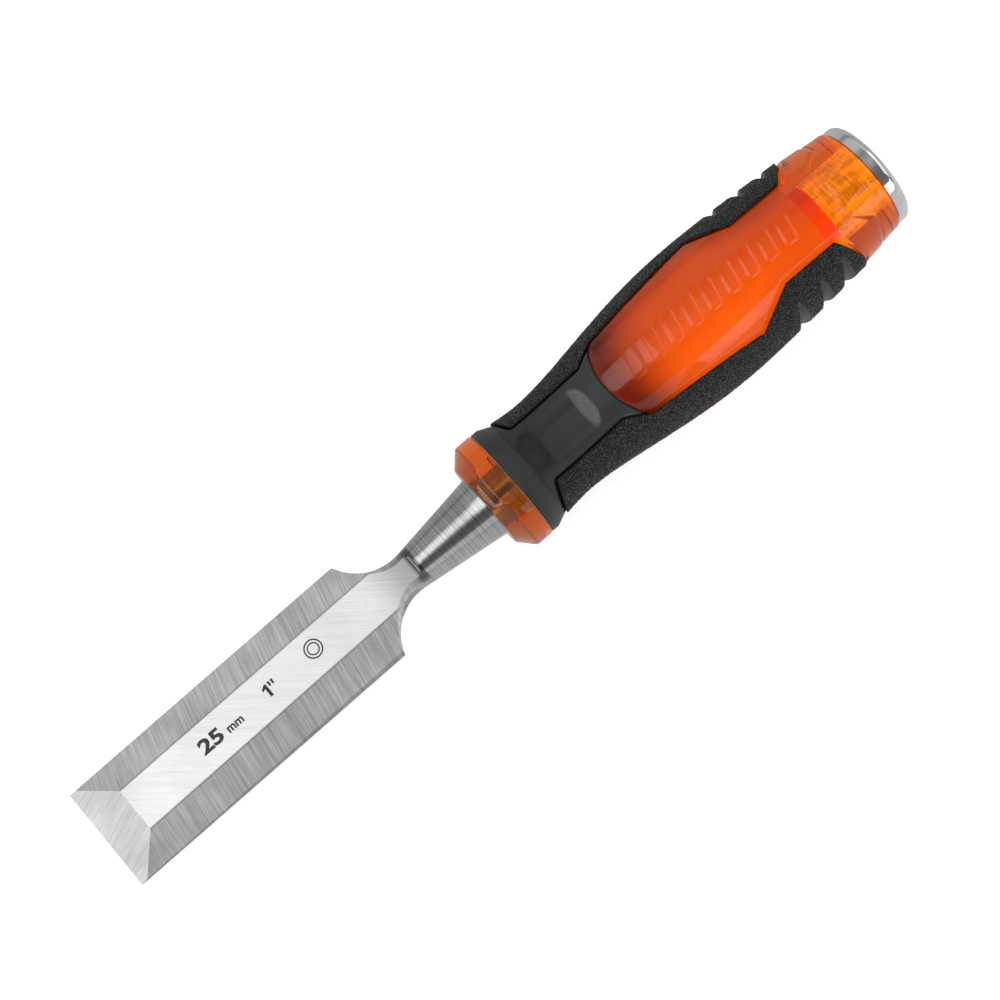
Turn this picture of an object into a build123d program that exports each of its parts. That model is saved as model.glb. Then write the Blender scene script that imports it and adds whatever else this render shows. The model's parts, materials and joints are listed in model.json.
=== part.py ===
"""Bench chisel: a through tang in a clear moulded handle with soft grips, and a steel strike cap.

Row frame, millimetres: the origin is the centre of the strike cap's face, +X runs along the tool's
axis to the cutting edge, +Z points out of the bevelled side of the blade, and +Y is across it.
"""

import os
from math import asin, atan2, degrees, hypot, radians, tan

from build123d import *

# ---- stations along the tool's axis, measured from the strike face ----
edge_x = 222.0            # cutting edge
shoulder_x = 146.8        # square corners where the blade begins
rear_gauge_x = 141.5      # place where the blade's rear thickness is given
neck_x = 135.5            # narrowest part of the neck
runout_x = 131.6          # end of the ground flats on the neck
handle_front_x = 112.7    # bolster's end and the handle's front face
ring_rear_x = 105.2       # clear front ring's end and the smooth grip's front
core_front_x = 104.6      # coloured core, front end
core_rear_x = 20.2        # coloured core, rear end of its barrel
stem_front_x = 16.1       # strike cap's stem, front end, which meets the core's collar
tang_end_x = 6.5          # tang's end, at the bottom of the stem's socket
cap_seat_x = 3.8          # strike cap's seat on the handle

# ---- blade ----
blade_width = 25.4
back_z = -2.4             # ground back of the blade, below the tool's axis
cutting_bevel = 25.0      # degrees
tip_thickness = 4.55      # at the top of the cutting bevel
rear_thickness = 6.1      # at rear_gauge_x
tip_flat = 10.6           # width of the flat on top, at the cutting bevel
rear_flat = 10.2          # the same at rear_gauge_x
tip_wall = 1.05           # height of the side wall at the cutting bevel
wall_lean = 0.25          # side wall's inward lean for each millimetre of height
neck_radius = 4.61
scoop_turn = 80           # degrees of the shoulders' scoop that the profile carries
bolster_radius = 7.56
top_wheel_radius = 2.5    # rounded end of the ground flat on top of the neck
back_wheel_radius = 9.0   # and of the one below it
spindle_radius = 16.0     # round bar that the blade is ground from

# ---- tang, core and strike cap ----
tang_front_radius = 4.6
tang_radius = 4.0
tang_end_radius = 3.0
core = [                  # (station, radius) of the coloured core's barrel
    (core_front_x, 5.6), (98.0, 7.4), (78.0, 7.4), (70.0, 8.9), (60.0, 11.2),
    (48.0, 12.2), (36.0, 11.6), (core_rear_x, 9.6),
]
collar_across_flats = 8.9 # core's hexagonal collar, which sits on the strike cap's stem
stem_radius = 5.3
cap_radius = 12.92
cap_edge_round = 1.7
cap_seat_break = 0.35

# ---- handle ----
belly = [                 # (station, radius) of the outer surface over the side pads
    (100.2, 12.93), (94.5, 12.3), (88.75, 12.45), (76.6, 14.05),
    (62.25, 16.05), (50.7, 16.8), (37.8, 16.55), (16.0, 15.2),
]
ring_radius = 13.84
ring_face_radius = 10.2
ring_chamfer_x = 109.4    # where the front chamfer meets the ring
ring_edge_round = 0.5
rest_flat_z = 12.76       # flats above and below the ring, which keep the tool from rolling
sleeve_radius = 9.6       # moulded body under the smooth grip
pad_floor_drop = 1.8      # floor of the pockets that hold the side pads
window_drop = 0.35        # the clear surface lies this far below the pads' surface
smooth_drop = 0.55        # the smooth grip lies this far below it
flare_rear_x, flare_mid_x = 100.3, 103.3   # smooth grip's flare up to the front ring
flare_radius = 13.7
butt_front_x, butt_front_radius = 13.4, 14.5
butt_rear_x, butt_rear_radius = 4.6, 13.5

# ---- clear window: its front edge, seen from above ----
window_front_x = 77.1
window_side_x = 73.2
window_half_width = 10.9

# ---- side pads: inner edge of the left one, seen from above, as (station, y) ----
pad_edge = [
    (100.5, 13.4), (97.8, 7.5), (78.5, 7.5), (73.0, 10.4),
    (43.5, 13.2), (33.7, 8.75), (19.8, 8.75), (14.3, 15.6),
]
pad_corner_round = 1.0
pad_gap = 0.3             # open line all round each pad
ledge_width = 0.9         # low border of the window beside each pad
ledge_drop = 0.8          # its depth below the pads' surface
notch_stations = (33.8, 26.8, 20.3)
notch_length = 3.4
notch_depth = 0.85
notch_half_height = 6.4

# ---- thumb rests, ribs and styling line ----
thumb_x = 89.8
thumb_depth = 1.7
thumb_sweep_radius = 18.0
rib_count, rib_pitch, rib_width, rib_height = 9, 5.35, 2.9, 7.2
rib_mid_x, rib_slant, rib_proud = 47.6, 1.6, 0.3
rib_root = 2.0            # depth that a rib reaches into the clear body
rib_corner_round = 0.6
line_mid_x, line_side_x = 13.3, 9.1
line_inner_y, line_outer_y = 7.5, 10.9
line_drop = 0.22          # step down behind the styling line

reach = 40.0              # cutting shapes extend this far beyond the tool's axis
overlap = 1.0             # and this far past a face that they only need to clear


def revolved(*outline):
    """Solid of revolution about X under an outline of (station, radius) points."""
    with BuildPart() as body:
        with BuildSketch(Plane.XZ):
            with BuildLine():
                Polyline((outline[0][0], 0), *outline, (outline[-1][0], 0), close=True)
            make_face()
        revolve(axis=Axis.X)
    return body.part


def belly_body(drop):
    """The handle's rounded middle as a solid of revolution, drop below the side pads' surface."""
    points = [(x, radius - drop) for x, radius in belly]
    with BuildPart() as body:
        with BuildSketch(Plane.XZ):
            with BuildLine():
                curve = Spline(*points)
                Polyline(curve @ 1, (0, (curve @ 1).Y), (0, 0), (ring_rear_x, 0),
                         (ring_rear_x, (curve @ 0).Y), curve @ 0)
            make_face()
        revolve(axis=Axis.X)
    return body.part


def belly_radius(x):
    """Radius of the side pads' surface at station x."""
    return Spline(*belly).intersect(Line((x, 0), (x, reach))).vertices()[0].Y


def pad_region(margin):
    """Plan of the two side pads, grown by margin and run through in Z."""
    with BuildPart() as region:
        with BuildSketch(Plane.XY):
            with BuildLine():
                Polyline(*pad_edge, (pad_edge[-1][0], reach), (pad_edge[0][0], reach), close=True)
            make_face()
            fillet(vertices().filter_by_position(Axis.Y, 0, max(y for x, y in pad_edge[1:-1])),
                   radius=pad_corner_round)
            if margin:
                offset(amount=margin)
            mirror(about=Plane.XZ)
        extrude(amount=reach, both=True)
    return region.part


def smooth_region():
    """Plan of the smooth grip, from the front ring to the window's curved edge, run through in Z."""
    with BuildPart() as region:
        with BuildSketch(Plane.XY):
            with BuildLine():
                Polyline((window_side_x, -window_half_width), (window_side_x, -reach),
                         (ring_rear_x, -reach), (ring_rear_x, reach),
                         (window_side_x, reach), (window_side_x, window_half_width))
                ThreePointArc((window_side_x, window_half_width), (window_front_x, 0),
                              (window_side_x, -window_half_width))
            make_face()
        extrude(amount=reach, both=True)
    return region.part


def butt_region():
    """Plan of the handle's end behind the stepped styling line, run through in Z."""
    with BuildPart() as region:
        with BuildSketch(Plane.XY):
            with BuildLine():
                Polyline((line_mid_x, -line_inner_y), (line_side_x, -line_outer_y),
                         (line_side_x, -reach), (0, -reach), (0, reach), (line_side_x, reach),
                         (line_side_x, line_outer_y), (line_mid_x, line_inner_y), close=True)
            make_face()
        extrude(amount=reach, both=True)
    return region.part


def rest_flats():
    """Blocks above and below the front ring and the flare, which leave its two flats."""
    length = handle_front_x + overlap - flare_rear_x
    with BuildPart() as blocks:
        with BuildSketch(Plane.XZ):
            with Locations((flare_rear_x + length / 2, rest_flat_z + reach / 2),
                           (flare_rear_x + length / 2, -rest_flat_z - reach / 2)):
                Rectangle(length, reach)
        extrude(amount=reach, both=True)
    return blocks.part


def cut_plane(point, along, across):
    """Plane through point that holds both directions, facing up or outward from the blade."""
    normal = Vector(*along).cross(Vector(*across)).normalized()
    return Plane(origin=point, z_dir=normal if normal.Z > 0 else -normal)


def ground_flat(height, slope, sign, wheel_radius):
    """Block above (sign 1) or below (-1) a ground flat, ending in the grinding wheel's round."""
    def level(x):
        return height + slope * (x - runout_x)

    start_x = runout_x + wheel_radius
    end_x = edge_x + overlap
    with BuildPart() as block:
        with BuildSketch(Plane.XZ):
            with BuildLine():
                wheel = RadiusArc((start_x, level(start_x)),
                                  (runout_x, level(start_x) + sign * wheel_radius),
                                  sign * wheel_radius)
                Polyline(wheel @ 1, (runout_x, sign * reach), (end_x, sign * reach),
                         (end_x, level(end_x)), wheel @ 0)
            make_face()
        extrude(amount=reach, both=True)
    return block.part


# ---- blade, neck, bolster and tang: one forging ----
bevel_length = tip_thickness / tan(radians(cutting_bevel))
flat_front_x = edge_x - bevel_length
taper = (rear_thickness - tip_thickness) / (flat_front_x - rear_gauge_x)
flat_spread = (tip_flat - rear_flat) / 2 / (flat_front_x - rear_gauge_x)
side_run = (blade_width - tip_flat) / 2 - wall_lean * tip_wall
side_rise = tip_thickness - tip_wall
scoop_depth = blade_width / 2 - neck_radius
scoop_radius = ((shoulder_x - neck_x) ** 2 + scoop_depth**2) / (2 * scoop_depth)
centre_dx = neck_x - handle_front_x
centre_dy = neck_radius + scoop_radius - bolster_radius
cone_angle = asin(scoop_radius / hypot(centre_dx, centre_dy)) - atan2(centre_dy, centre_dx)
runout_radius = bolster_radius - tan(cone_angle) * (runout_x - handle_front_x)

with BuildPart() as blade:
    with BuildSketch(Plane.XZ):
        with BuildLine():
            scoop = CenterArc((neck_x, neck_radius + scoop_radius), scoop_radius,
                              -90 - degrees(cone_angle), scoop_turn + degrees(cone_angle))
            Polyline(scoop @ 1, ((scoop @ 1).X, spindle_radius), (edge_x, spindle_radius),
                     (edge_x, 0), (runout_x, 0), (runout_x, runout_radius), scoop @ 0)
        make_face()
    revolve(axis=Axis.X)
    runout_z = back_z + rear_thickness + taper * (rear_gauge_x - runout_x)
    add(ground_flat(runout_z, -taper, 1, top_wheel_radius), mode=Mode.SUBTRACT)
    add(ground_flat(back_z, 0, -1, back_wheel_radius), mode=Mode.SUBTRACT)
    for side in (1, -1):
        wall = cut_plane((edge_x, side * blade_width / 2, back_z), (1, 0, 0),
                         (0, -side * wall_lean, 1))
        split(bisect_by=wall, keep=Keep.BOTTOM)
        bevel = cut_plane((flat_front_x, side * tip_flat / 2, back_z + tip_thickness),
                          (-1, -side * flat_spread, taper), (0, side * side_run, -side_rise))
        split(bisect_by=bevel, keep=Keep.BOTTOM)
    edge_bevel = cut_plane((edge_x, 0, back_z), (0, 1, 0), (-bevel_length, 0, tip_thickness))
    split(bisect_by=edge_bevel, keep=Keep.BOTTOM)
    add(revolved((tang_end_x, tang_end_radius), (core_rear_x, tang_end_radius),
                 (core_rear_x, tang_radius), (core_front_x, tang_radius),
                 (core_front_x, tang_front_radius), (handle_front_x, tang_front_radius),
                 (handle_front_x, bolster_radius), (runout_x, runout_radius)))

# ---- coloured core: a barrel round the tang with a hexagonal collar, inside the clear handle ----
with BuildPart() as core_outline:
    add(revolved(*reversed(core)))
    with BuildSketch(Plane.YZ.offset(stem_front_x)):
        RegularPolygon(radius=collar_across_flats / 2, side_count=6, major_radius=False)
    extrude(amount=core_rear_x - stem_front_x)
with BuildPart() as core_tube:
    add(core_outline.part)
    add(revolved((stem_front_x, tang_end_radius), (core_rear_x, tang_end_radius),
                 (core_rear_x, tang_radius), (core_front_x, tang_radius)), mode=Mode.SUBTRACT)

# ---- strike cap with its hollow stem ----
with BuildPart() as strike_cap:
    with BuildSketch(Plane.XZ):
        with BuildLine():
            Polyline((0, 0), (0, cap_radius), (cap_seat_x, cap_radius), (cap_seat_x, stem_radius),
                     (stem_front_x, stem_radius), (stem_front_x, tang_end_radius),
                     (tang_end_x, tang_end_radius), (tang_end_x, 0), close=True)
        make_face()
        fillet(vertices().sort_by_distance((0, cap_radius))[0], radius=cap_edge_round)
        chamfer(vertices().sort_by_distance((cap_seat_x, cap_radius))[0], length=cap_seat_break)
    revolve(axis=Axis.X)

# ---- shapes that the clear handle and the grips are cut by ----
window_rear_radius = belly[-1][1] - window_drop
rib_floor = belly_radius(rib_mid_x) - window_drop - rib_root
thumb_floor = belly_radius(thumb_x) - smooth_drop - thumb_depth
notch_round = ((notch_length / 2) ** 2 + notch_depth**2) / (2 * notch_depth)
flats = rest_flats()
rib_shell = belly_body(window_drop - rib_proud)
gap_cut = pad_region(pad_gap) - belly_body(pad_floor_drop)
ledge_cut = pad_region(pad_gap + ledge_width) - belly_body(ledge_drop) - smooth_region()
butt_cut = butt_region() - revolved((0, butt_rear_radius - line_drop),
                                    (butt_rear_x, butt_rear_radius - line_drop),
                                    (butt_front_x, butt_front_radius - line_drop))

with BuildPart() as cavity_shape:
    add(revolved((0, stem_radius), (stem_front_x, stem_radius)))
    add(core_outline.part)
    add(revolved((core_front_x, tang_front_radius), (handle_front_x, tang_front_radius)))
cavity = cavity_shape.part

# ---- clear moulded handle: front ring, sleeve under the grips, windows and butt ----
with BuildPart() as clear_handle:
    add(belly_body(window_drop))
    add(smooth_region(), mode=Mode.SUBTRACT)
    add(revolved((window_side_x - overlap, sleeve_radius), (ring_rear_x, sleeve_radius)))
    with BuildSketch(Plane.XZ):
        with BuildLine():
            Polyline((ring_rear_x, 0), (ring_rear_x, ring_radius), (ring_chamfer_x, ring_radius),
                     (handle_front_x, ring_face_radius), (handle_front_x, 0), close=True)
        make_face()
        fillet(vertices().sort_by_distance((ring_rear_x, ring_radius))[0], radius=ring_edge_round)
    revolve(axis=Axis.X)
    add(flats, mode=Mode.SUBTRACT)
    add(revolved((0, reach), (belly[-1][0], reach)), mode=Mode.SUBTRACT)
    add(revolved((cap_seat_x, butt_rear_radius), (butt_rear_x, butt_rear_radius),
                 (butt_front_x, butt_front_radius), (belly[-1][0], window_rear_radius)))
    add(gap_cut, mode=Mode.SUBTRACT)
    add(ledge_cut, mode=Mode.SUBTRACT)
    add(butt_cut, mode=Mode.SUBTRACT)
    for top in (1, -1):
        with BuildSketch(Plane.XY.offset(top * rib_floor)):
            for count in range(rib_count):
                middle = rib_mid_x + (count - (rib_count - 1) / 2) * rib_pitch
                with BuildLine():
                    Polyline((middle - rib_width / 2 - rib_slant / 2, -rib_height / 2),
                             (middle + rib_width / 2 - rib_slant / 2, -rib_height / 2),
                             (middle + rib_width / 2 + rib_slant / 2, rib_height / 2),
                             (middle - rib_width / 2 + rib_slant / 2, rib_height / 2), close=True)
                make_face()
            fillet(vertices(), radius=rib_corner_round)
        rib_block = extrude(amount=top * reach, mode=Mode.PRIVATE)
        add(rib_block & rib_shell)
    add(cavity, mode=Mode.SUBTRACT)

# ---- smooth grip: soft sleeve with a thumb rest above and below ----
with BuildPart() as smooth_grip:
    add(belly_body(smooth_drop))
    add(revolved((flare_rear_x, belly[0][1] - smooth_drop), (flare_mid_x, flare_radius),
                 (ring_rear_x, flare_radius)))
    add(flats, mode=Mode.SUBTRACT)
    add(smooth_region(), mode=Mode.INTERSECT)
    add(revolved((0, sleeve_radius), (ring_rear_x, sleeve_radius)), mode=Mode.SUBTRACT)
    add(gap_cut, mode=Mode.SUBTRACT)
    for top in (1, -1):
        with Locations((thumb_x, 0, top * (thumb_floor + thumb_sweep_radius))):
            Cylinder(radius=thumb_sweep_radius, height=2 * reach, rotation=(90, 0, 0),
                     mode=Mode.SUBTRACT)

# ---- side pads: one textured soft grip on each side ----
pads = {}
for name, side in (("left_pad", 1), ("right_pad", -1)):
    with BuildPart() as pad:
        add(belly_body(0))
        add(pad_region(0), mode=Mode.INTERSECT)
        add(belly_body(pad_floor_drop), mode=Mode.SUBTRACT)
        split(bisect_by=Plane.XZ, keep=Keep.BOTTOM if side > 0 else Keep.TOP)
        for station in notch_stations:
            notch_y = side * (belly_radius(station) + notch_round - notch_depth)
            with Locations((station, notch_y, 0)):
                Cylinder(radius=notch_round, height=2 * notch_half_height, mode=Mode.SUBTRACT)
    pads[name] = pad

os.makedirs("parts", exist_ok=True)
pieces = {"blade": blade, "core_tube": core_tube, "strike_cap": strike_cap,
          "clear_handle": clear_handle, "smooth_grip": smooth_grip, **pads}
for name, piece in pieces.items():
    piece.part.label = name
    export_step(piece.part, f"parts/{name}.step")
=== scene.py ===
"""Looks of the bench chisel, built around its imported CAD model."""

import json
import math

import bpy
import numpy as np
from mathutils import Matrix, Vector, noise

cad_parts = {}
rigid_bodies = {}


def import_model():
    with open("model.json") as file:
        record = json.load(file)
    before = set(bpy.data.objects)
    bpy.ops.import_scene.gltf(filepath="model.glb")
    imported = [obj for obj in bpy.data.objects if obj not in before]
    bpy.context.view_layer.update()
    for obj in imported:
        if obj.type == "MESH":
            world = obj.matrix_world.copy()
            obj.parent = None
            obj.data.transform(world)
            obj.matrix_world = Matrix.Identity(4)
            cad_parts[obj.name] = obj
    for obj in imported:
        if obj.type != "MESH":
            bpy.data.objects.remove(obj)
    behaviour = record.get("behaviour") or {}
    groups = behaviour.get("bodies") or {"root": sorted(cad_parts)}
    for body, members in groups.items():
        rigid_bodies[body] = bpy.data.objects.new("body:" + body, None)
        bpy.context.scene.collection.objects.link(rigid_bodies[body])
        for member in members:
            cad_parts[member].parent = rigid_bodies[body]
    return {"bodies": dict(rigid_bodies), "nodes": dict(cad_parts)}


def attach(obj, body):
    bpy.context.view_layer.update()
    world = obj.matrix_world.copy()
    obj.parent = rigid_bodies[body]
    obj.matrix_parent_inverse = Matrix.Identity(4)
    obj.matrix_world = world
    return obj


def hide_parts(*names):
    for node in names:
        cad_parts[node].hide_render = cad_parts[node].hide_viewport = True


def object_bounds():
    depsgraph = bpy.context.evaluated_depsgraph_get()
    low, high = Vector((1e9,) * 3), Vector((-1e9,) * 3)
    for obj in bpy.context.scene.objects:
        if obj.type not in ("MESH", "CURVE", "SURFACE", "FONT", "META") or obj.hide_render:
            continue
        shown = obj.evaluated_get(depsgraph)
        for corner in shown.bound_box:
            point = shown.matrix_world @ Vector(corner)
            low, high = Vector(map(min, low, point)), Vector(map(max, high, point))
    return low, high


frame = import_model()
cad_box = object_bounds()
BODY = next(iter(frame["bodies"]))
MM = 0.001

# ---------------------------------------------------------------- driving sizes, in millimetres
# Stations are measured along X from the strike face. The belly is the surface over the side pads.
BELLY = [
    (100.2, 12.93), (94.5, 12.3), (88.75, 12.45), (76.6, 14.05),
    (62.25, 16.05), (50.7, 16.8), (37.8, 16.55), (16.0, 15.2),
]
PAD_EDGE = [
    (100.5, 13.4), (97.8, 7.5), (78.5, 7.5), (73.0, 10.4),
    (43.5, 13.2), (33.7, 8.75), (19.8, 8.75), (14.3, 15.6),
]
PAD_CORNER = 1.0
WINDOW_DROP = 0.35        # depths below the belly: windows, smooth grip, ledge round a pad, pocket
SMOOTH_DROP = 0.55
LEDGE_DROP = 0.8
POCKET_DROP = 1.8
PAD_GAP = 0.3
LEDGE_WIDTH = 0.9
SLEEVE_RADIUS = 9.6       # clear body under the smooth grip
RING_REAR, RING_CHAMFER, HANDLE_FRONT = 105.2, 109.4, 112.7
RING_RADIUS, RING_FACE_RADIUS, RING_ROUND = 13.84, 10.2, 0.5
REST_FLAT_Z = 12.76       # the two flats on the ring and the grip's flare
FLARE_START, FLARE_FULL, FLARE_RADIUS = 100.3, 103.3, 13.7
BUTT_PROFILE = [(3.8, 13.5), (4.6, 13.5), (13.4, 14.5), (16.0, 14.85)]
WINDOW_FRONT, WINDOW_SIDE, WINDOW_HALF_WIDTH = 77.1, 73.2, 10.9
WINDOW_BOW = ((WINDOW_HALF_WIDTH**2 + (WINDOW_FRONT - WINDOW_SIDE)**2)
              / (2 * (WINDOW_FRONT - WINDOW_SIDE)))     # radius of a window's bowed front edge
STYLE_LINE = [(13.3, 0.0), (13.3, 7.5), (9.1, 10.9), (9.1, 20.0)]
STYLE_DROP, STYLE_GROOVE, STYLE_HALF_WIDTH = 0.22, 0.22, 0.5
RIBS, RIB_PITCH, RIB_WIDTH, RIB_HEIGHT, RIB_SLANT = 9, 5.35, 2.9, 7.2, 1.6
RIB_MIDDLE, RIB_PROUD, RIB_CORNER = 47.6, 0.3, 0.6
FLAT_FRONT_X, FLAT_FRONT_Z, FLAT_REAR_X, FLAT_REAR_Z = 212.24, 2.15, 141.5, 3.7
SUNK = 0.15               # soft grips reach this far into the clear body, as moulded-on grips do
KEEP_IN = 0.02            # drawn surfaces stay this far inside the CAD surface


# ---------------------------------------------------------------- small helpers for shapes
def smooth_step(low, high, value):
    """0 below low, 1 above high, smooth between; low may be above high."""
    t = np.clip((value - low) / (high - low), 0.0, 1.0)
    return t * t * (3 - 2 * t)


def soft_min(a, b, width):
    """The smaller of two surfaces, rounded over width where they cross."""
    h = np.clip(0.5 + 0.5 * (b - a) / width, 0.0, 1.0)
    return b * (1 - h) + a * h - width * h * (1 - h)


def cubic_through(points):
    """Natural cubic spline through (x, y) points, as a function of x."""
    x, y = np.array(sorted(points)).T
    h = np.diff(x)
    n = len(x)
    system, right = np.eye(n), np.zeros(n)
    for i in range(1, n - 1):
        system[i, i - 1:i + 2] = h[i - 1], 2 * (h[i - 1] + h[i]), h[i]
        right[i] = 6 * ((y[i + 1] - y[i]) / h[i] - (y[i] - y[i - 1]) / h[i - 1])
    bend = np.linalg.solve(system, right)

    def value(at):
        at = np.clip(at, x[0], x[-1])
        i = np.clip(np.searchsorted(x, at) - 1, 0, n - 2)
        a, b = x[i + 1] - at, at - x[i]
        return ((bend[i] * a**3 + bend[i + 1] * b**3) / (6 * h[i])
                + (y[i] / h[i] - bend[i] * h[i] / 6) * a
                + (y[i + 1] / h[i] - bend[i + 1] * h[i] / 6) * b)

    return value


def rounded_path(points, radius, step):
    """Points along a polyline with its inner corners rounded, about step apart."""
    points = [np.array(p, float) for p in points]
    path = [points[0]]
    for before, corner, after in zip(points, points[1:], points[2:]):
        a = (before - corner) / np.linalg.norm(before - corner)
        b = (after - corner) / np.linalg.norm(after - corner)
        half = math.acos(np.clip(a @ b, -1, 1)) / 2
        reach = radius / math.tan(half)
        start, end = corner + a * reach, corner + b * reach
        for t in np.linspace(0, 1, 7):
            path.append((1 - t)**2 * start + 2 * t * (1 - t) * corner + t * t * end)
    path.append(points[-1])
    path = np.array(path)
    along = np.r_[0, np.cumsum(np.linalg.norm(np.diff(path, axis=0), axis=1))]
    at = np.linspace(0, along[-1], int(along[-1] / step) + 1)
    return np.stack([np.interp(at, along, path[:, 0]), np.interp(at, along, path[:, 1])], 1)


def box_distance(x, y, half_x, half_y, corner):
    """Signed distance from a rectangle with rounded corners, negative inside."""
    qx, qy = np.abs(x) - half_x + corner, np.abs(y) - half_y + corner
    return (np.hypot(np.maximum(qx, 0), np.maximum(qy, 0))
            + np.minimum(np.maximum(qx, qy), 0) - corner)


def on_axis(x, radius, turn):
    """Points at station x, radius from the axis and turn radians from +Z towards +Y."""
    x, radius, turn = np.broadcast_arrays(x, radius, turn)
    return np.stack([x, radius * np.sin(turn), radius * np.cos(turn)], -1)


belly = cubic_through(BELLY)
pad_path = rounded_path(PAD_EDGE, PAD_CORNER, 0.25)


def unroll(x, y, drop):
    """Length round the surface drop below the belly, from its top line to the point with this y."""
    radius = belly(x) - drop
    return radius * np.arcsin(np.clip(np.abs(y) / radius, 0, 1))


def pad_distance(x, turn, drop):
    """Distance from the pads' outline, over the surface drop below the belly; negative inside."""
    x, turn = np.broadcast_arrays(x, turn)
    side = np.abs(np.sin(turn)) * (belly(x) - drop)
    shape = x.shape
    own = np.stack([x.ravel(), unroll(x, side, drop).ravel()], 1)
    seen = pad_path[pad_path[:, 1] < belly(pad_path[:, 0]) - drop + 0.05]
    line = np.stack([seen[:, 0], unroll(seen[:, 0], seen[:, 1], drop)], 1)
    away = np.empty(len(own))
    for start in range(0, len(own), 4000):
        block = own[start:start + 4000]
        gap = block[:, None, :] - line[None, :, :]
        away[start:start + 4000] = np.sqrt((gap**2).sum(2).min(1))
    away = away.reshape(shape)
    edge = np.interp(x, pad_path[::-1, 0], pad_path[::-1, 1])
    inside = (side > edge) & (x > PAD_EDGE[-1][0]) & (x < PAD_EDGE[0][0])
    return np.where(inside, -away, away)


def ring_flats(radius, turn):
    """Cuts the two rest flats into a round section."""
    return soft_min(radius, REST_FLAT_Z / np.maximum(np.abs(np.cos(turn)), 0.2), 0.12)


# ---------------------------------------------------------------- meshes
def grid_piece(name, rows, wrap_rows=False, ends=False, stands_for=None):
    """Closed mesh from rows of points that each go once round; ends caps the first and last."""
    count, across = rows.shape[:2]
    i = np.arange(count if wrap_rows else count - 1)[:, None]
    j = np.arange(across)[None, :]
    a, b = i * across + j, i * across + (j + 1) % across
    c, d = ((i + 1) % count) * across + (j + 1) % across, ((i + 1) % count) * across + j
    faces = np.stack([a, b, c, d], -1).reshape(-1, 4).tolist()
    points = rows.reshape(-1, 3)
    if ends:
        centres = np.array([rows[0].mean(0), rows[-1].mean(0)])
        points = np.vstack([points, centres])
        first, last = count * across, count * across + 1
        for k in range(across):
            following = (k + 1) % across
            faces.append([first, following, k])
            faces.append([last, (count - 1) * across + k, (count - 1) * across + following])
    mesh = bpy.data.meshes.new(name)
    mesh.from_pydata((points * MM).tolist(), [], faces)
    mesh.polygons.foreach_set("use_smooth", np.ones(len(mesh.polygons), bool))
    mesh.update()
    return add_piece(name, mesh, stands_for)


def add_piece(name, mesh, stands_for=None):
    """Puts a finished mesh into the scene on the CAD body, facing outwards."""
    corners = np.zeros(len(mesh.vertices) * 3, np.float32)
    mesh.vertices.foreach_get("co", corners)
    corners = corners.reshape(-1, 3)
    mesh.calc_loop_triangles()
    tri = np.zeros(len(mesh.loop_triangles) * 3, np.int32)
    mesh.loop_triangles.foreach_get("vertices", tri)
    p, q, r = (corners[tri.reshape(-1, 3)[:, k]] for k in range(3))
    if np.einsum("ij,ij->i", p, np.cross(q, r)).sum() < 0:
        mesh.flip_normals()
    piece = bpy.data.objects.new(name, mesh)
    bpy.context.scene.collection.objects.link(piece)
    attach(piece, BODY)
    if stands_for:
        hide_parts(stands_for)
    return piece


# ---------------------------------------------------------------- clear handle
def clear_radius(x, turn):
    """Radius of the clear body between the strike cap and the front ring."""
    y = np.abs(belly(x) * np.sin(turn))
    radius = np.where(x < BUTT_PROFILE[-1][0], np.interp(x, *np.array(BUTT_PROFILE).T),
                      belly(x) - WINDOW_DROP)
    from_line = x - np.interp(y, *np.array([(b, a) for a, b in STYLE_LINE]).T)
    radius = radius - STYLE_DROP * smooth_step(0.12, -0.12, from_line)
    radius = radius - STYLE_GROOVE * smooth_step(0.15, -0.15, np.abs(from_line) - STYLE_HALF_WIDTH)

    from_pad = pad_distance(x, turn, LEDGE_DROP)
    ledge = np.minimum(belly(x) - LEDGE_DROP, radius)
    inner = PAD_GAP + LEDGE_WIDTH
    radius = ledge + (radius - ledge) * smooth_step(inner - 0.2, inner + 0.25, from_pad)
    floor = belly(x) - POCKET_DROP
    radius = floor + (radius - floor) * smooth_step(PAD_GAP - 0.12, PAD_GAP + 0.16, from_pad)

    lean = RIB_SLANT * belly(x) * np.sin(turn) / RIB_HEIGHT
    nearest = np.clip(np.round((x - lean - RIB_MIDDLE) / RIB_PITCH), -(RIBS // 2), RIBS // 2)
    from_rib = box_distance(x - lean - RIB_MIDDLE - nearest * RIB_PITCH, y,
                            RIB_WIDTH / 2, RIB_HEIGHT / 2, RIB_CORNER)
    radius = radius + RIB_PROUD * smooth_step(0.16, -0.16, from_rib)

    bow_centre = WINDOW_FRONT - WINDOW_BOW
    on_bow = (y < WINDOW_HALF_WIDTH) & (x > bow_centre)
    past = np.where(on_bow, np.hypot(x - bow_centre, y) - WINDOW_BOW, x - WINDOW_SIDE)
    radius = radius - 0.25 * smooth_step(-0.7, 0.0, past)**2
    sleeve = np.full_like(radius, SLEEVE_RADIUS)
    return sleeve + (radius - sleeve) * smooth_step(0.5, 0.05, past)


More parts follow.
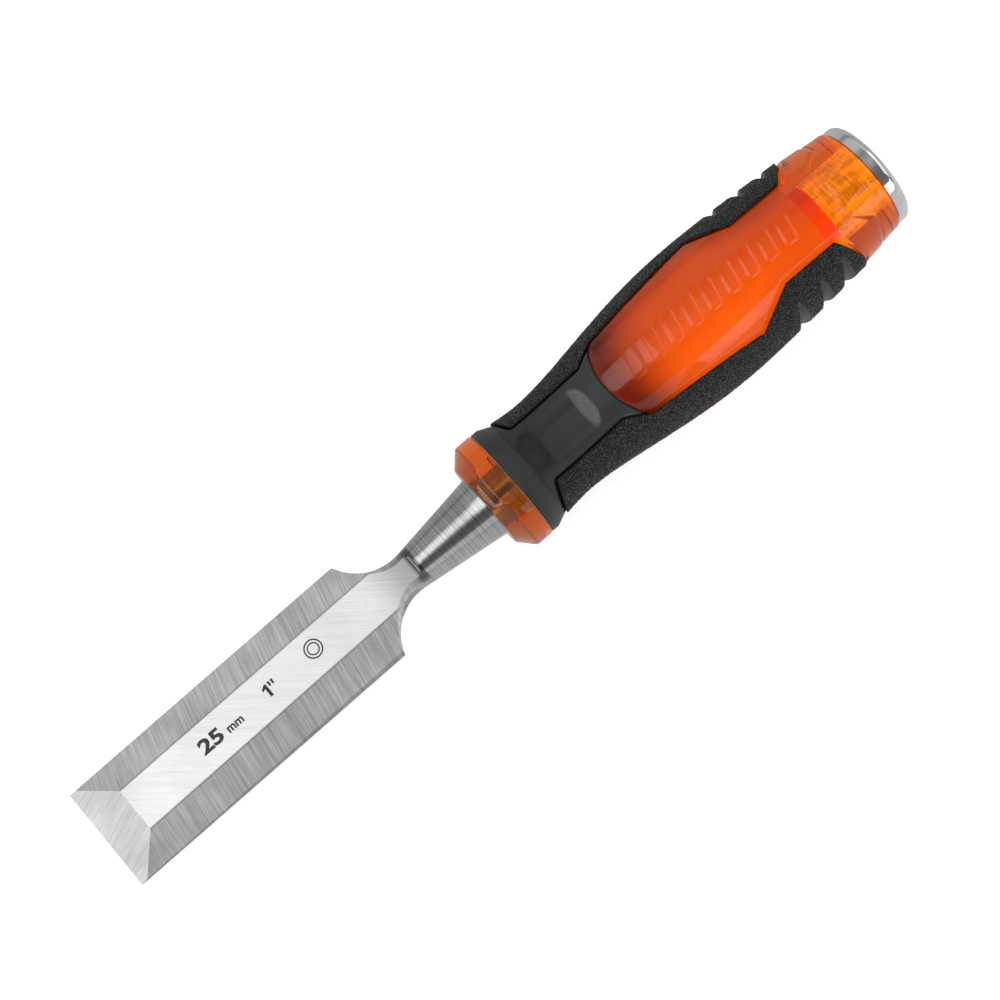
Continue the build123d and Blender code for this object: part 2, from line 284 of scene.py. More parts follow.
def make_clear_handle():
    """Clear orange body with its windows, ribs, styling step, butt and front ring."""
    turn = np.linspace(0, 2 * math.pi, 300, endpoint=False)[None, :]
    stations = np.r_[np.linspace(4.2, 20, 72), np.linspace(20.25, 79, 218),
                     np.linspace(80, RING_REAR - 0.1, 12)]
    body = clear_radius(stations[:, None], turn) - KEEP_IN
    cap_seat = BUTT_PROFILE[0][0]
    rows = [on_axis(cap_seat - 0.05, body[0] - drop, turn[0]) for drop in (2.0, 0.3)]
    rows.append(on_axis(cap_seat + 0.04, body[0] - 0.1, turn[0]))
    rows.extend(on_axis(x, radius, turn[0]) for x, radius in zip(stations, body))
    ring = [(RING_REAR, SLEEVE_RADIUS + 0.1), (RING_REAR, 12.6), (RING_REAR, RING_RADIUS - 0.55)]
    ring += [(RING_REAR + RING_ROUND * (1 - math.cos(a)),
              RING_RADIUS - RING_ROUND * (1 - math.sin(a)))
             for a in np.linspace(0.2, math.pi / 2, 6)]
    slope = math.atan2(RING_RADIUS - RING_FACE_RADIUS, HANDLE_FRONT - RING_CHAMFER)
    ring += bent_corner((RING_CHAMFER, RING_RADIUS), 0.0, -slope, 1.2)
    ring += bent_corner((HANDLE_FRONT, RING_FACE_RADIUS), -slope, -math.pi / 2, 1.0)
    ring += [(HANDLE_FRONT, 8.6), (HANDLE_FRONT, 2.0)]
    for x, radius in ring:
        section = np.full(turn.shape[1], radius - KEEP_IN)
        rows.append(on_axis(x, ring_flats(section, turn[0]), turn[0]))
    return grid_piece("clear_body", np.array(rows), ends=True,
                      stands_for="clear_handle")


def bent_corner(corner, before, after, radius):
    """Points of an arc that rounds a profile's corner between two directions, given as angles."""
    reach = radius * math.tan(abs(after - before) / 2)
    start = np.array(corner) - reach * np.array([math.cos(before), math.sin(before)])
    points = []
    for t in np.linspace(0, 1, 9):
        heading = before + (after - before) * t
        middle = start + radius * np.array([math.sin(before), -math.cos(before)])
        points.append(tuple(middle + radius * np.array([-math.sin(heading), math.cos(heading)])))
    return points


# ---------------------------------------------------------------- smooth grip
DISH_REAR, DISH_FRONT, DISH_HALF_WIDTH, DISH_DEPTH = 81.3, 100.5, 6.35, 1.7
DISH_REAR_SLOPE, DISH_FRONT_SLOPE, DISH_SIDE_SLOPE = 3.2, 6.0, 5.0


def smooth_radius(x, turn):
    """Radius of the smooth grip, with its flare, thumb rests and the pads' pockets."""
    radius = belly(x) - SMOOTH_DROP
    flare = np.interp(x, [FLARE_START, FLARE_FULL, RING_REAR],
                      [BELLY[0][1] - SMOOTH_DROP, FLARE_RADIUS, FLARE_RADIUS])
    radius = np.where(x > FLARE_START, -soft_min(-radius, -flare, 0.3), radius)
    radius = np.where(x > FLARE_START - 0.7, ring_flats(radius, turn), radius)
    across = unroll(x, belly(x) * np.sin(turn), 0.0)
    short_of_floor = np.maximum(1 - (x - DISH_REAR) / DISH_REAR_SLOPE,
                                1 - (DISH_FRONT - x) / DISH_FRONT_SLOPE)
    beside_floor = 1 - (DISH_HALF_WIDTH - across) / DISH_SIDE_SLOPE
    from_floor = np.hypot(np.maximum(short_of_floor, 0), np.maximum(beside_floor, 0))
    radius = radius - DISH_DEPTH * smooth_step(1.0, 0.0, from_floor)
    from_pad = pad_distance(x, turn, SMOOTH_DROP)
    radius = radius - 0.2 * smooth_step(PAD_GAP + 0.5, PAD_GAP, from_pad)
    floor = belly(x) - POCKET_DROP - 0.05
    return floor + (radius - floor) * smooth_step(PAD_GAP - 0.15, PAD_GAP + 0.05, from_pad)


def make_smooth_grip():
    """Grey sleeve between the front ring and the windows."""
    turn = np.linspace(0, 2 * math.pi, 480, endpoint=False)
    y = np.minimum(np.abs(belly(WINDOW_FRONT) * np.sin(turn)), WINDOW_HALF_WIDTH)
    rear = WINDOW_FRONT - WINDOW_BOW + np.sqrt(WINDOW_BOW**2 - y**2) + 0.03
    front = RING_REAR - 0.04
    edge_round, edge_drop = 0.35, 0.25
    rows = []
    for t in np.r_[0.0, 0.004, 0.012, np.linspace(0.022, 0.978, 130), 0.988, 0.996, 1.0]:
        x = rear + t * (front - rear)
        from_edge = np.minimum(x - rear, front - x)
        radius = smooth_radius(x, turn) - KEEP_IN
        radius = radius - edge_drop * np.clip(1 - from_edge / edge_round, 0, 1)**2
        rows.append(on_axis(x, radius, turn))
    inner = SLEEVE_RADIUS - SUNK
    rows.append(on_axis(front, inner, turn))
    rows.append(on_axis(rear, inner, turn))
    return grid_piece("smooth_sleeve", np.array(rows), wrap_rows=True,
                      stands_for="smooth_grip")


# ---------------------------------------------------------------- side pads
NOTCHES, NOTCH_LENGTH, NOTCH_DEPTH, NOTCH_REACH = (33.8, 26.8, 20.3), 3.5, 0.95, 9.8
NOTCH_SLOPE = 0.75        # width of a notch's sloped sides
PAD_RIM = 0.55            # round along a pad's edge
GRAIN_CELL, GRAIN_DEPTH = 0.85, 0.14
OUTER_COUNT, UNDER_COUNT = 186, 14      # points across a pad's outside and its underside


def notch_depth_at(x, height):
    """Depth of the three flat-bottomed notches on a pad, at a height above or below its middle."""
    depth = np.zeros_like(x)
    narrow = np.clip(1 - (np.abs(height) / NOTCH_REACH)**2, 0, 1)
    for station in NOTCHES:
        half = NOTCH_LENGTH / 2 * (0.2 + 0.8 * narrow)
        inward = (half - np.abs(x - station)) / NOTCH_SLOPE
        depth = np.maximum(depth, NOTCH_DEPTH * smooth_step(0.0, 1.0, inward) * np.sqrt(narrow))
    return depth


def make_pad(name, side, stands_for):
    """One textured side grip: a thick skin with a rounded rim, notches and leather grain."""
    path = rounded_path(PAD_EDGE, PAD_CORNER, 0.2)
    path = path[path[:, 1] < (belly(path[:, 0]) - PAD_RIM) * 0.999]

    def fan(drop, count):
        """Turns from the outline round to its mirror image, at this depth below the belly."""
        inset = np.minimum(path[:, 1] / (belly(path[:, 0]) - drop), 0.999)
        start = np.arcsin(inset)[:, None]
        return start + (math.pi - 2 * start) * np.linspace(0, 1, count)[None, :]

    turn = fan(PAD_RIM, OUTER_COUNT)
    x = np.repeat(path[:, :1], turn.shape[1], 1)
    away = -np.minimum(pad_distance(x, turn, PAD_RIM), 0)
    to_rim = np.clip(PAD_RIM - away, 0, PAD_RIM)
    radius = belly(x) - KEEP_IN - (PAD_RIM - np.sqrt(PAD_RIM**2 - to_rim**2))
    notches = notch_depth_at(x, belly(x) * np.cos(turn))
    points = on_axis(x, radius, turn)
    grain = np.array([leather(p) for p in points.reshape(-1, 3)]).reshape(x.shape)
    grained = smooth_step(0.35, 0.7, away) * smooth_step(0.12, 0.02, notches)
    radius = radius - notches - GRAIN_DEPTH * (1 - grain) * grained
    outer = on_axis(x, radius, turn)
    floor_drop = POCKET_DROP + SUNK
    under_turn = fan(floor_drop, UNDER_COUNT)
    under_x = x[:, :UNDER_COUNT]
    under = on_axis(under_x, belly(under_x) - floor_drop, under_turn)
    loop = np.concatenate([outer, under[:, ::-1]], 1)
    if side < 0:
        loop = loop * np.array([1, -1, 1])
    return grid_piece(name, loop, ends=True, stands_for=stands_for)


def leather(point):
    """Height from 0 in the creases to 1 on the pebbles of a leather grain."""
    near, second = noise.voronoi(Vector(point) / GRAIN_CELL)[0][:2]
    return min(1.0, (second - near) * 2.6)


# ---------------------------------------------------------------- node materials
def new_material(name):
    """Empty node material and its tree."""
    material = bpy.data.materials.new(name)
    material.use_nodes = True
    material.node_tree.nodes.clear()
    return material, material.node_tree


def finish_material(tree, shader, volume=None):
    """Joins the surface shader, and a volume if there is one, to the material's output."""
    out = node(tree, "ShaderNodeOutputMaterial", {"Surface": shader.outputs[0]})
    if volume:
        tree.links.new(volume.outputs[0], out.inputs["Volume"])


def node(tree, kind, inputs=None, **settings):
    """Adds a node; an input's value is a number, a colour or another node's output."""
    made = tree.nodes.new(kind)
    for key, value in settings.items():
        setattr(made, key, value)
    for key, value in (inputs or {}).items():
        if isinstance(value, bpy.types.NodeSocket):
            tree.links.new(value, made.inputs[key])
        else:
            made.inputs[key].default_value = value
    return made


def maths(tree, operation, a, b=0.0, c=0.0, clamp=False):
    """One arithmetic step on node values."""
    return node(tree, "ShaderNodeMath", {0: a, 1: b, 2: c}, operation=operation,
                use_clamp=clamp).outputs[0]


def times(tree, a, b):
    """Product of two node values."""
    return maths(tree, "MULTIPLY", a, b)


def spread(tree, value, low, high, to_low=0.0, to_high=1.0):
    """Maps a value smoothly from one range to another."""
    return node(tree, "ShaderNodeMapRange",
                {"Value": value, "From Min": low, "From Max": high,
                 "To Min": to_low, "To Max": to_high},
                interpolation_type="SMOOTHSTEP").outputs[0]


def between(tree, length, low, high, to_low=0.0, to_high=1.0):
    """The same for a length, with its range in millimetres."""
    return spread(tree, length, low * MM, high * MM, to_low, to_high)


def blend(tree, factor, a, b):
    """Mixes two colours."""
    return node(tree, "ShaderNodeMix", {0: factor, 6: a, 7: b}, data_type="RGBA").outputs[2]


def blend_value(tree, factor, a, b):
    """Mixes two numbers."""
    return node(tree, "ShaderNodeMix", {0: factor, 2: a, 3: b}).outputs[0]


def object_place(tree):
    """Position on the piece, in its own axes."""
    return node(tree, "ShaderNodeTexCoord").outputs["Object"]


def axes(tree, vector):
    """X, Y and Z of a vector."""
    return list(node(tree, "ShaderNodeSeparateXYZ", {0: vector}).outputs)


def normal_axes(tree):
    """X, Y and Z of the surface's normal."""
    return axes(tree, node(tree, "ShaderNodeNewGeometry").outputs["Normal"])


def cloudy(tree, place, scale, detail):
    """Soft noise; scale is cycles per metre."""
    return node(tree, "ShaderNodeTexNoise",
                {"Vector": place, "Scale": scale, "Detail": detail}).outputs[0]


def streaks(tree, place, stretch, turn_deg=0.0):
    """Noise drawn out one way, after a turn about Z; stretch is cycles per millimetre."""
    turned = node(tree, "ShaderNodeMapping", vector_type="POINT",
                  inputs={"Vector": place, "Rotation": (0, 0, math.radians(turn_deg))})
    scaled = node(tree, "ShaderNodeMapping", vector_type="POINT",
                  inputs={"Vector": turned.outputs[0], "Scale": [s / MM for s in stretch]})
    return node(tree, "ShaderNodeTexNoise", {"Vector": scaled.outputs[0], "Scale": 1.0,
                                             "Detail": 2.0, "Roughness": 0.6}).outputs[0]


def two_streaks(tree, place, fine, coarse, fine_share):
    """Fine streaks with some coarser ones; each is a pair of stretch and turn in degrees."""
    return maths(tree, "MULTIPLY_ADD", streaks(tree, place, *fine), fine_share,
                 times(tree, streaks(tree, place, *coarse), 1 - fine_share))


# Where the turned neck gives way to the ground blade, and the grinding wheel's mark on the neck.
NECK_END, BLADE_START = 132.5, 136.5
WHEEL_MARK_START, WHEEL_MARK_END = 131.4, 145.0
RIDGE_HALF_WIDTH = 0.3
FLAT_HALF_WIDTHS = 5.1, 5.3             # of the blade's flat, at its rear and its front


def blade_darkening(tree, x, y, lean, upward, on_blade):
    """Darker bands along the ridges beside the flat, darker side walls, and painted shade over the
    wheel's mark where the flat runs out up the neck.
    """
    half_flat = between(tree, x, FLAT_REAR_X, FLAT_FRONT_X, *(w * MM for w in FLAT_HALF_WIDTHS))
    from_ridge = maths(tree, "ABSOLUTE",
                       maths(tree, "SUBTRACT", maths(tree, "ABSOLUTE", y), half_flat))
    ridge = between(tree, from_ridge, 0.1, RIDGE_HALF_WIDTH, 0.45, 0.0)
    for limit in (on_blade, spread(tree, upward, 0.3, 0.6),
                  between(tree, x, FLAT_FRONT_X + 0.2, FLAT_FRONT_X - 0.1)):
        ridge = times(tree, ridge, limit)
    # painted shade: the wheel's mark, curving up the neck, is darkened
    wheel = between(tree, x, WHEEL_MARK_START, WHEEL_MARK_START + 0.3)
    for limit in (between(tree, x, WHEEL_MARK_END, 133.5), spread(tree, upward, 0.3, 0.7),
                  between(tree, x, 133.0, 134.5, 0.72, 0.45)):
        wheel = times(tree, wheel, limit)
    walls = times(tree, times(tree, spread(tree, lean, 0.8, 0.9), on_blade), 0.5)
    return maths(tree, "MAXIMUM", maths(tree, "MAXIMUM", ridge, wheel), walls)


def steel_blade():
    """Ground steel: each ground face has scratches in its own direction, the neck is turned."""
    material, tree = new_material("ground_steel")
    place = object_place(tree)
    x, y, _ = axes(tree, place)
    forward, sideways, upward = normal_axes(tree)
    lean = maths(tree, "ABSOLUTE", sideways)
    on_blade = between(tree, x, NECK_END, BLADE_START)
    on_side = times(tree, spread(tree, lean, 0.2, 0.32), on_blade)
    on_front = times(tree, spread(tree, forward, 0.2, 0.3), on_blade)

    def choose(flat, side, front, turned):
        """One value for each kind of surface."""
        mixed = blend_value(tree, on_blade, turned, flat)
        mixed = blend_value(tree, on_side, mixed, side)
        return blend_value(tree, on_front, mixed, front)

    lines = choose(
        flat=two_streaks(tree, place, ((0.05, 2.8, 0.1), 38), ((0.08, 1.0, 0.1), 42), 0.6),
        side=two_streaks(tree, place, ((4.8, 0.05, 0.1), 13), ((1.6, 0.04, 0.1), 9), 0.7),
        front=two_streaks(tree, place, ((0.08, 3.6, 0.1), -14), ((0.08, 0.9, 0.1), -11), 0.6),
        turned=streaks(tree, place, (3.2, 0.03, 0.03)))
    shade = maths(tree, "MULTIPLY_ADD", cloudy(tree, place, 90.0, 3.0), 0.3,
                  times(tree, lines, 0.7))
    light = choose(flat=0.62, side=1.0, front=0.84, turned=0.55)
    dark = times(tree, light, choose(flat=0.78, side=0.50, front=0.64, turned=0.56))
    tone = node(tree, "ShaderNodeMapRange", {"Value": shade, "From Min": 0.36, "From Max": 0.62,
                                             "To Min": dark, "To Max": light}).outputs[0]
    # darker ridges and side walls, and painted shade on the wheel's mark
    darkening = blade_darkening(tree, x, y, lean, upward, on_blade)
    tone = times(tree, tone, maths(tree, "SUBTRACT", 1.0, darkening))
    colour = node(tree, "ShaderNodeCombineColor", {0: tone, 1: tone, 2: tone}).outputs[0]
    rough = maths(tree, "MULTIPLY_ADD", lines, 0.14,
                  choose(flat=0.24, side=0.40, front=0.34, turned=0.10))
    strength = choose(flat=0.3, side=0.6, front=0.5, turned=0.35)
    bump = node(tree, "ShaderNodeBump", {"Height": lines, "Strength": strength,
                                         "Distance": 0.00012})
    shader = node(tree, "ShaderNodeBsdfPrincipled",
                  {"Base Color": colour, "Metallic": 1.0, "Roughness": rough,
                   "Normal": bump.outputs[0]})
    finish_material(tree, shader)
    return material


def steel_cap():
    """Plated steel, polished on the cap; the dull stem glows for light piped by the plastic."""
    material, tree = new_material("polished_steel")
    place = object_place(tree)
    stem = between(tree, axes(tree, place)[0], 3.75, 3.85)
    marks = cloudy(tree, place, 260.0, 5.0)
    lines = streaks(tree, place, (0.4, 3.0, 3.0))
    rough = maths(tree, "MULTIPLY_ADD", lines, 0.06, spread(tree, marks, 0.35, 0.7, 0.05, 0.16))
    rough = maths(tree, "MULTIPLY_ADD", stem, 0.34, rough)
    tone = blend(tree, spread(tree, marks, 0.3, 0.7), (0.66, 0.67, 0.68, 1), (0.80, 0.81, 0.82, 1))
    tone = blend(tree, stem, tone, (0.92, 0.92, 0.92, 1))
    knurl = two_streaks(tree, place, ((4.0, 0.3, 0.3),), ((0.15, 0.7, 0.7),), 0.5)
    glow = times(tree, stem, spread(tree, knurl, 0.38, 0.60, 0.18, 0.75))
    bump = node(tree, "ShaderNodeBump", {"Height": lines, "Strength": 0.06, "Distance": 0.00005})
    shader = node(tree, "ShaderNodeBsdfPrincipled",
                  {"Base Color": tone, "Metallic": 1.0, "Roughness": rough,
                   "Emission Color": (1.0, 0.5, 0.0, 1), "Emission Strength": glow,
                   "Normal": bump.outputs[0]})
    finish_material(tree, shader)
    return material


def clear_orange():
    """Tinted clear plastic: the tint comes from its depth, with faint flow waves on its surface."""
    material, tree = new_material("clear_orange_plastic")
    place = object_place(tree)
    flow = cloudy(tree, place, 110.0, 2.0)
    bump = node(tree, "ShaderNodeBump", {"Height": flow, "Strength": 0.12, "Distance": 0.0002})
    rough = spread(tree, cloudy(tree, place, 1500.0, 3.0), 0.35, 0.75, 0.03, 0.07)
    tint = blend(tree, spread(tree, flow, 0.35, 0.65), (1.0, 0.93, 0.86, 1), (1.0, 0.98, 0.94, 1))
    shader = node(tree, "ShaderNodeBsdfPrincipled",
                  {"Base Color": tint, "Roughness": rough, "IOR": 1.49,
                   "Transmission Weight": 1.0, "Normal": bump.outputs[0]})
    volume = node(tree, "ShaderNodeVolumeAbsorption",
                  {"Color": (0.99, 0.795, 0.0, 1), "Density": 400.0})
    finish_material(tree, shader, volume)
    return material


def core_orange():
    """Orange moulding with flow marks and painted shade towards the window's front end; its faint
    glow is painted light, standing for light piped by the plastic, stronger towards +Y.
    """
    material, tree = new_material("core_orange_plastic")
    place = object_place(tree)
    x, y, _ = axes(tree, place)
    cloud = cloudy(tree, place, 140.0, 4.0)
    marbled = spread(tree, cloud, 0.3, 0.7)
    tone = blend(tree, marbled, (0.98, 0.20, 0.008, 1), (1.0, 0.26, 0.012, 1))
    # painted shade: darker towards the window's front end
    tone = blend(tree, between(tree, x, 65.0, 74.5), tone, (0.5, 0.07, 0.004, 1))
    # painted light: a glow that fades towards the front and grows towards +Y, the lit side
    glow = times(tree, between(tree, x, 73.0, 60.0), between(tree, y, -4.0, 8.0, 0.26, 0.66))
    bump = node(tree, "ShaderNodeBump", {"Height": cloud, "Strength": 0.1, "Distance": 0.0003})
    shader = node(tree, "ShaderNodeBsdfPrincipled",
                  {"Base Color": tone, "Roughness": spread(tree, cloud, 0.3, 0.7, 0.3, 0.45),
                   "Emission Color": (1.0, 0.17, 0.0, 1), "Emission Strength": glow,
                   "Normal": bump.outputs[0]})
    finish_material(tree, shader)
    return material


def smooth_grey():
    """Satin dark grey rubber with a fine moulded texture, a painted highlight on the thumb rest's
    rear slope and painted shade on its front slope; the faces inside the ring are painted amber and
    glow, as painted light seen through the ring.
    """
    material, tree = new_material("smooth_grey_rubber")
    place = object_place(tree)
    x, y, z = axes(tree, place)
    forward = normal_axes(tree)[0]
    fine = cloudy(tree, place, 3000.0, 3.0)
    cloud = cloudy(tree, place, 160.0, 5.0)
    tone = blend(tree, spread(tree, cloud, 0.3, 0.7),
                 (0.026, 0.0275, 0.028, 1), (0.034, 0.036, 0.0365, 1))
    # painted highlight: the thumb rest's rear slope, facing the front lamps, is lighter with a fine
    # speckle
    rear_slope = times(tree, spread(tree, forward, 0.08, 0.45), between(tree, x, 87.5, 85.5))
    painted_slope_highlight = times(tree, rear_slope, spread(tree, fine, 0.25, 0.65, 0.45, 1.0))
    tone = blend(tree, painted_slope_highlight, tone, (0.16, 0.165, 0.165, 1))
    # painted shade: the thumb rest's front slope is darker
    front_slope = times(tree, spread(tree, forward, -0.08, -0.30), between(tree, x, 100.8, 99.8))
    tone = blend(tree, front_slope, tone, (0.006, 0.006, 0.006, 1))
    # painted light: the faces inside the front ring are amber and glow, standing for light seen
    # through the ring
    from_axis = maths(tree, "SQRT", maths(tree, "MULTIPLY_ADD", y, y, times(tree, z, z)))
    inside = maths(tree, "MAXIMUM",
                   between(tree, from_axis, SLEEVE_RADIUS + 0.1, SLEEVE_RADIUS),
                   between(tree, x, RING_REAR - 0.07, RING_REAR - 0.05))
    tone = blend(tree, inside, tone, (0.80, 0.60, 0.30, 1))
    rough = spread(tree, cloud, 0.3, 0.7, 0.42, 0.52)
    bump = node(tree, "ShaderNodeBump", {"Height": fine, "Strength": 0.5, "Distance": 0.0001})
    shader = node(tree, "ShaderNodeBsdfPrincipled",
                  {"Base Color": tone, "Roughness": rough, "Specular IOR Level": 0.4,
                   "Emission Color": (0.85, 0.90, 0.5, 1),
                   "Emission Strength": times(tree, inside, 0.26), "Normal": bump.outputs[0]})
    finish_material(tree, shader)
    return material


def grip_black():
    """Black rubber with a leather grain, glossier on pebbles, with painted shade in the grain's
    creases and a painted highlight on the pebbles' tops; notches are smooth.
    """
    material, tree = new_material("grained_black_rubber")
    place = object_place(tree)
    x, _, z = axes(tree, place)
    height = maths(tree, "DIVIDE", maths(tree, "ABSOLUTE", z), NOTCH_REACH * MM)
    squared = times(tree, height, height)
    half_length = NOTCH_LENGTH / 2 * MM
    half = maths(tree, "MULTIPLY_ADD", maths(tree, "SUBTRACT", 1.0, squared, clamp=True),
                 0.8 * half_length, 0.2 * half_length)
    notched = 0.0
    for station in NOTCHES:
        off = maths(tree, "ABSOLUTE", maths(tree, "SUBTRACT", x, station * MM))
        inward = between(tree, maths(tree, "SUBTRACT", half, off), 0.0, 0.3)
        notched = maths(tree, "MAXIMUM", inward, notched)
    notched = times(tree, notched, spread(tree, squared, 1.0, 0.9))
    pebble = node(tree, "ShaderNodeTexVoronoi",
                  {"Vector": place, "Scale": 1 / (0.72 * GRAIN_CELL * MM)},
                  feature="DISTANCE_TO_EDGE").outputs["Distance"]
    relief = maths(tree, "MULTIPLY_ADD", cloudy(tree, place, 3600.0, 4.0), 0.35,
                   spread(tree, pebble, 0.0, 0.3))
    # painted shade and highlight: near black in the grain's creases, lighter on the pebbles' tops
    tone = blend(tree, spread(tree, pebble, 0.03, 0.3),
                 (0.0002, 0.0003, 0.0003, 1), (0.056, 0.058, 0.057, 1))
    tone = blend(tree, notched, tone, (0.03, 0.0315, 0.032, 1))
    rough = blend_value(tree, notched, spread(tree, relief, 0.2, 1.2, 0.70, 0.34), 0.48)
    bump = node(tree, "ShaderNodeBump", {"Height": relief, "Distance": 0.0002,
                                         "Strength": blend_value(tree, notched, 1.0, 0.08)})
    shader = node(tree, "ShaderNodeBsdfPrincipled",
                  {"Base Color": tone, "Roughness": rough, "Specular IOR Level": 0.45,
                   "Normal": bump.outputs[0]})
    finish_material(tree, shader)
    return material


def etched_mark():
    """Dark laser-etched steel."""
    material, tree = new_material("etched_mark")
    grain = cloudy(tree, object_place(tree), 5200.0, 3.0)
    tone = blend(tree, spread(tree, grain, 0.3, 0.7),
                 (0.035, 0.035, 0.036, 1), (0.085, 0.085, 0.086, 1))
    shader = node(tree, "ShaderNodeBsdfPrincipled",
                  {"Base Color": tone, "Metallic": 0.6, "Roughness": 0.55})
    finish_material(tree, shader)
    return material


def dress(piece, material):
    """Gives every slot of an object this material."""
    if not piece.material_slots:
        piece.data.materials.append(material)
    for held in piece.material_slots:
        held.material = material


# ---------------------------------------------------------------- size marks on the blade's flat
MARK_THICKNESS = 0.01


def lay_on_flat(name, curve, material, place, size):
    """Turns a text or a shape into a thin etched piece, read from the tip to the butt.

    place and size are the middle (x, y) and the (width, height) in millimetres.
    """
    drawn = bpy.data.objects.new(name, curve)
    mesh = bpy.data.meshes.new_from_object(drawn)
    bpy.data.objects.remove(drawn)
    corners = np.array([v.co for v in mesh.vertices])
    low, high = corners.min(0), corners.max(0)
    scale = np.array([*size, MARK_THICKNESS]) / (high - low)
    mesh.transform(Matrix.Diagonal((*scale, 1)) @ Matrix.Translation(-Vector((low + high) / 2)))
    slope = math.atan2(FLAT_REAR_Z - FLAT_FRONT_Z, FLAT_FRONT_X - FLAT_REAR_X)
    x, y = place
    z = FLAT_FRONT_Z + (FLAT_FRONT_X - x) * math.tan(slope) + 0.4 * MARK_THICKNESS
    on_flat = (Matrix.Translation(Vector((x, y, z)) * MM)
               @ Matrix.Rotation(slope, 4, "Y") @ Matrix.Rotation(math.pi, 4, "Z"))
    mesh.transform(on_flat @ Matrix.Scale(MM, 4))
    dress(add_piece(name, mesh), material)


def plain_text(body, bold):
    """Characters in a plain face, made heavier by bold."""
    curve = bpy.data.curves.new("text", "FONT")
    curve.body, curve.extrude, curve.offset, curve.resolution_u = body, MARK_THICKNESS, bold, 4
    return curve


def filled_outlines(outlines):
    """Flat shape between closed outlines of (x, y) points."""
    curve = bpy.data.curves.new("outlines", "CURVE")
    curve.dimensions, curve.fill_mode, curve.extrude = "2D", "BOTH", MARK_THICKNESS
    for outline in outlines:
        spline = curve.splines.new("POLY")
        spline.points.add(len(outline) - 1)
        spline.use_cyclic_u = True
        for point, (x, y) in zip(spline.points, outline):
            point.co = (x, y, 0, 1)
    return curve


def add_marks():
    """Blade width in millimetres and inches, and a plain double ring."""
    etched = etched_mark()
    one = [(0.18, 0.0), (0.36, 0.0), (0.36, 0.72), (0.22, 0.72),
           (0.0, 0.56), (0.0, 0.42), (0.18, 0.52)]
    ticks = [[(left, 0.46), (left + 0.10, 0.46), (left + 0.12, 0.74), (left - 0.02, 0.74)]
             for left in (0.48, 0.69)]
    turns = np.linspace(0, 2 * math.pi, 64, endpoint=False)
    rings = [[(radius * math.cos(a), radius * math.sin(a)) for a in turns]
             for radius in (1.0, 0.85, 0.66, 0.52)]
    lay_on_flat("mark_25", plain_text("25", 0.035), etched, (190.4, -0.3), (5.9, 3.47))
    lay_on_flat("mark_mm", plain_text("mm", 0.03), etched, (184.0, 0.5), (4.2, 1.45))
    lay_on_flat("mark_1", filled_outlines([one, *ticks]), etched, (173.4, -0.4), (3.3, 3.1))
    lay_on_flat("ring_mark", filled_outlines(rings), etched, (160.8, -0.7), (4.4, 4.4))


# ---------------------------------------------------------------- camera, light, floor
def place_camera():
    """Looks down on the bevelled side, a little from +Y, with the tool lying across the frame."""
    lean, tilt, roll = math.radians(2.62), math.radians(10.45), math.radians(138.89)
    distance, focal_per_width = 495.25, 2.276
    target = Vector((109.28, 1.05, 0)) * MM
    level = math.cos(lean)
    back = Vector((math.sin(lean), math.sin(tilt) * level, math.cos(tilt) * level))
    along = (Vector((1, 0, 0)) - back * back.x).normalized()
    right = along * math.cos(roll) + back.cross(along) * math.sin(roll)
    up = back.cross(right)
    data = bpy.data.cameras.new("camera")
    data.sensor_width, data.clip_start, data.clip_end = 36.0, 0.01, 20.0
    data.lens = data.sensor_width * focal_per_width
    camera = bpy.data.objects.new("camera", data)
    turn = Matrix((right, up, back)).transposed().to_4x4()
    camera.matrix_world = Matrix.Translation(target + back * distance * MM) @ turn
    bpy.context.scene.collection.objects.link(camera)
    bpy.context.scene.camera = camera


def area_light(name, place, target, size, power):
    """Rectangular lamp at a place in metres, turned to a target; size in metres, power in watts."""
    data = bpy.data.lights.new(name, "AREA")
    data.shape, data.size, data.size_y, data.energy = "RECTANGLE", size[0], size[1], power
    lamp = bpy.data.objects.new(name, data)
    lamp.location = place
    lamp.rotation_mode = "QUATERNION"
    lamp.rotation_quaternion = (Vector(place) - Vector(target)).to_track_quat("Z", "Y")
    bpy.context.scene.collection.objects.link(lamp)


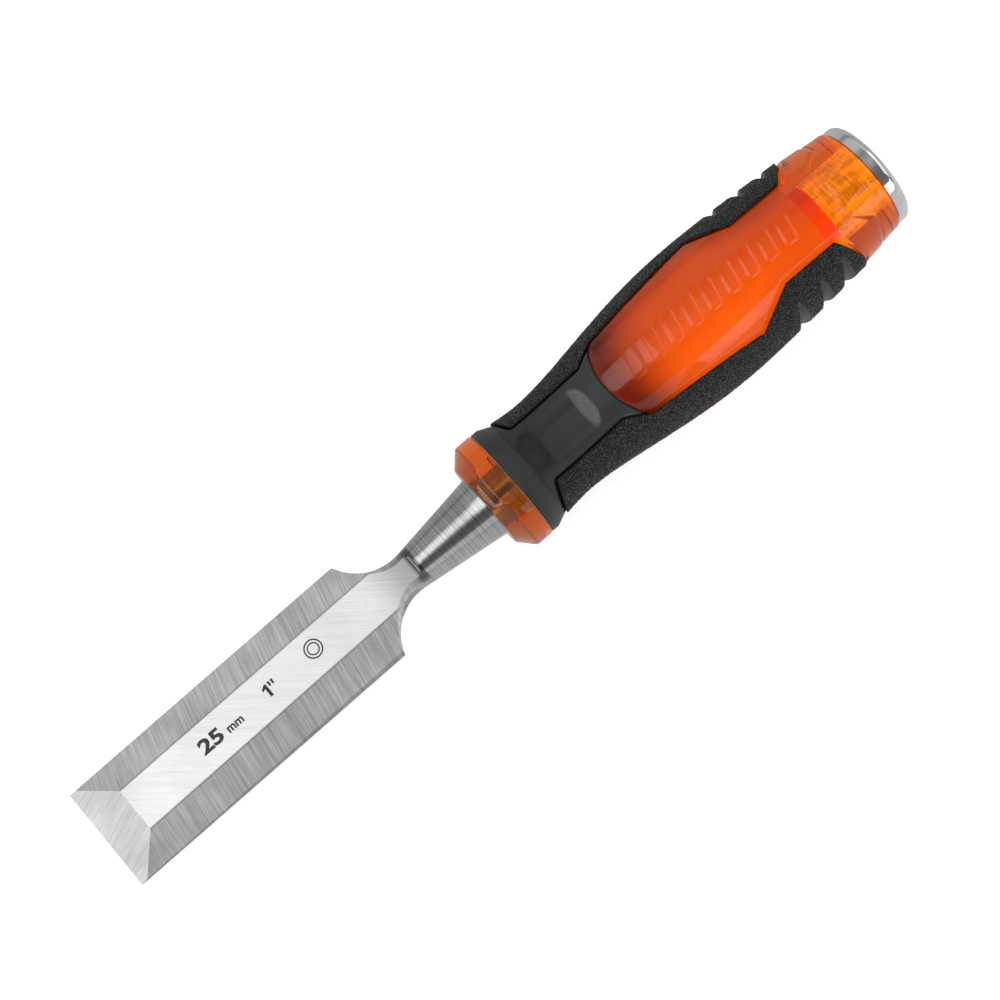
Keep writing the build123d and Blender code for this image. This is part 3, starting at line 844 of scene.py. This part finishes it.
def light_studio():
    """Studio with graded walls, soft cards above, behind and in front, and two boxes at +Y."""
    world = bpy.data.worlds.new("studio")
    bpy.context.scene.world = world
    world.use_nodes = True
    tree = world.node_tree
    tree.nodes.clear()
    _, across, up = axes(tree, node(tree, "ShaderNodeTexCoord").outputs["Generated"])

    def wall(stops):
        """Brightness of one side of the studio, graded from level to straight up."""
        ramp = node(tree, "ShaderNodeValToRGB", {0: up})
        ramp.color_ramp.interpolation = "EASE"
        while len(ramp.color_ramp.elements) < len(stops):
            ramp.color_ramp.elements.new(0.5)
        for element, (at, level) in zip(ramp.color_ramp.elements, stops):
            element.position, element.color = at, (level, level, level, 1)
        return ramp.outputs[0]

    plus_y = wall([(0.0, 0.70), (0.18, 0.62), (0.32, 0.20),
                   (0.72, 0.17), (0.93, 0.12), (1.0, 0.5)])
    minus_y = wall([(0.0, 0.50), (0.15, 0.28), (0.35, 0.52),
                    (0.70, 0.54), (0.87, 0.26), (1.0, 0.5)])
    graded = blend(tree, spread(tree, across, -0.25, 0.25), minus_y, plus_y)
    shine = node(tree, "ShaderNodeBackground", {"Color": graded, "Strength": 1.0})
    node(tree, "ShaderNodeOutputWorld", {"Surface": shine.outputs[0]})
    area_light("card", (0.42, -0.125, 0.60), (0.42, -0.125, 0.0), (0.60, 0.45), 1.2)
    area_light("side_box", (-0.17, 0.62, 0.34), (0.05, 0.0, 0.0), (0.46, 0.26), 0.5)
    area_light("rear_card", (-0.60, 0.10, 0.55), (0.05, 0.0, 0.0), (0.80, 0.50), 1.2)
    area_light("right_box", (0.35, 0.62, 0.34), (0.18, 0.0, 0.0), (0.50, 0.30), 0.3)
    area_light("front_card", (1.15, -0.10, 0.28), (0.10, 0.0, 0.0), (0.50, 0.30), 1.1)


def lay_floor():
    """Plain pale floor, bright enough to read as white, with only faint shadows."""
    material, tree = new_material("pale_floor")
    matt = node(tree, "ShaderNodeBsdfDiffuse", {"Color": (0.9, 0.9, 0.9, 1)})
    glow = node(tree, "ShaderNodeEmission", {"Color": (1, 1, 1, 1), "Strength": 0.75})
    both = node(tree, "ShaderNodeAddShader", {0: matt.outputs[0], 1: glow.outputs[0]})
    finish_material(tree, both)
    mesh = bpy.data.meshes.new("floor")
    half, middle = 6.0, (cad_box[0] + cad_box[1]) / 2
    z = cad_box[0].z - 0.0005
    mesh.from_pydata([(middle.x + a * half, middle.y + b * half, z)
                      for a, b in ((-1, -1), (1, -1), (1, 1), (-1, 1))], [], [(0, 1, 2, 3)])
    floor = bpy.data.objects.new("floor", mesh)
    bpy.context.scene.collection.objects.link(floor)
    floor.data.materials.append(material)
    floor.visible_glossy = False
    floor.visible_transmission = False


# ---------------------------------------------------------------- assembly
place_camera()
light_studio()
lay_floor()
bpy.context.scene.view_settings.view_transform = "Standard"

dress(make_clear_handle(), clear_orange())
dress(make_smooth_grip(), smooth_grey())
pad_rubber = grip_black()
dress(make_pad("left_grip", 1, "left_pad"), pad_rubber)
dress(make_pad("right_grip", -1, "right_pad"), pad_rubber)
dress(frame["nodes"]["blade"], steel_blade())
dress(frame["nodes"]["strike_cap"], steel_cap())
dress(frame["nodes"]["core_tube"], core_orange())
add_marks()
